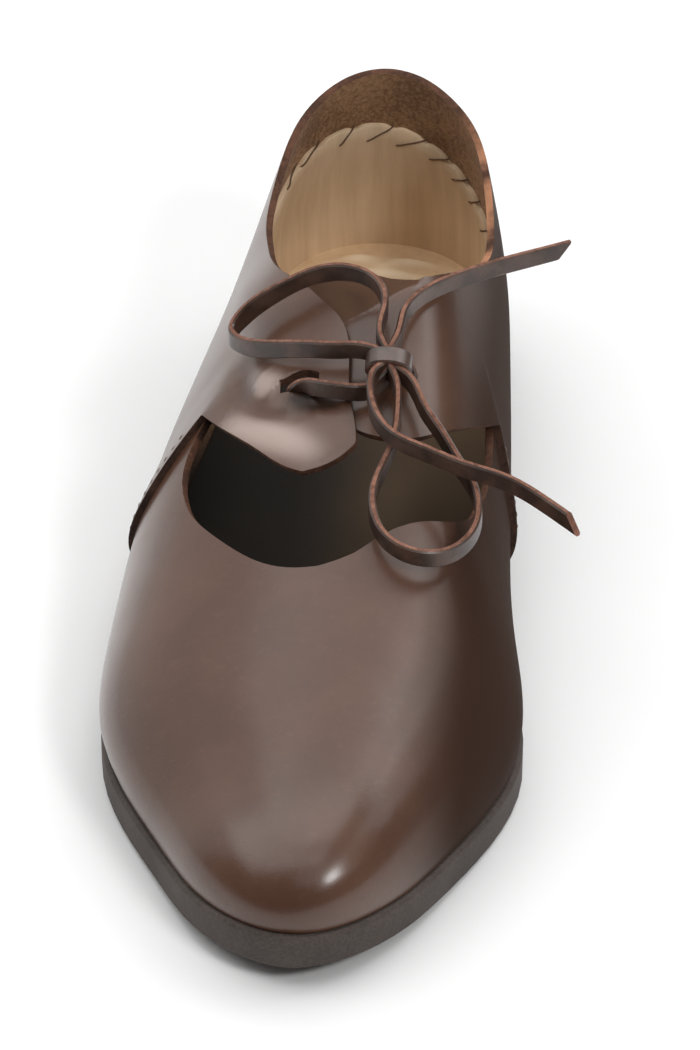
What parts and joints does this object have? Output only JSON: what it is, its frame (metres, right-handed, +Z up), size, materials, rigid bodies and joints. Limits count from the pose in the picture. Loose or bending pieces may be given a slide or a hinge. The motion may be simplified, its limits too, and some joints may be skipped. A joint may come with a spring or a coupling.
{
  "type": "medieval shoe",
  "caption": "Low leather shoe with pointed toe, open throat, crossing instep flaps tied by a flat leather lace in a bow, side seams, tan insole and heel stiffener, on a rubber sole with heel.",
  "frame": {"origin": "on the floor under the middle of the shoe's length and width, the lace left out", "axes": "-Y towards the toe, +Y towards the heel, +X towards the inner side of the right foot, +Z up"},
  "size_m": [0.1171, 0.2884, 0.0871],
  "materials": {
    "sole_rubber": "matte",
    "brown_leather": "satin",
    "tan_leather": "matte",
    "lace_leather": "matte"
  },
  "bodies": {
    "root": {"outsole": "sole_rubber", "upper": "brown_leather", "insole": "tan_leather", "heel_stiffener": "tan_leather", "lace_bar_outer": "lace_leather", "lace_bar_inner": "lace_leather", "lace_knot": "lace_leather", "lace_loop_side": "lace_leather", "lace_loop_front": "lace_leather", "lace_end_upper": "lace_leather", "lace_end_lower": "lace_leather"}
  },
  "joints": []
}
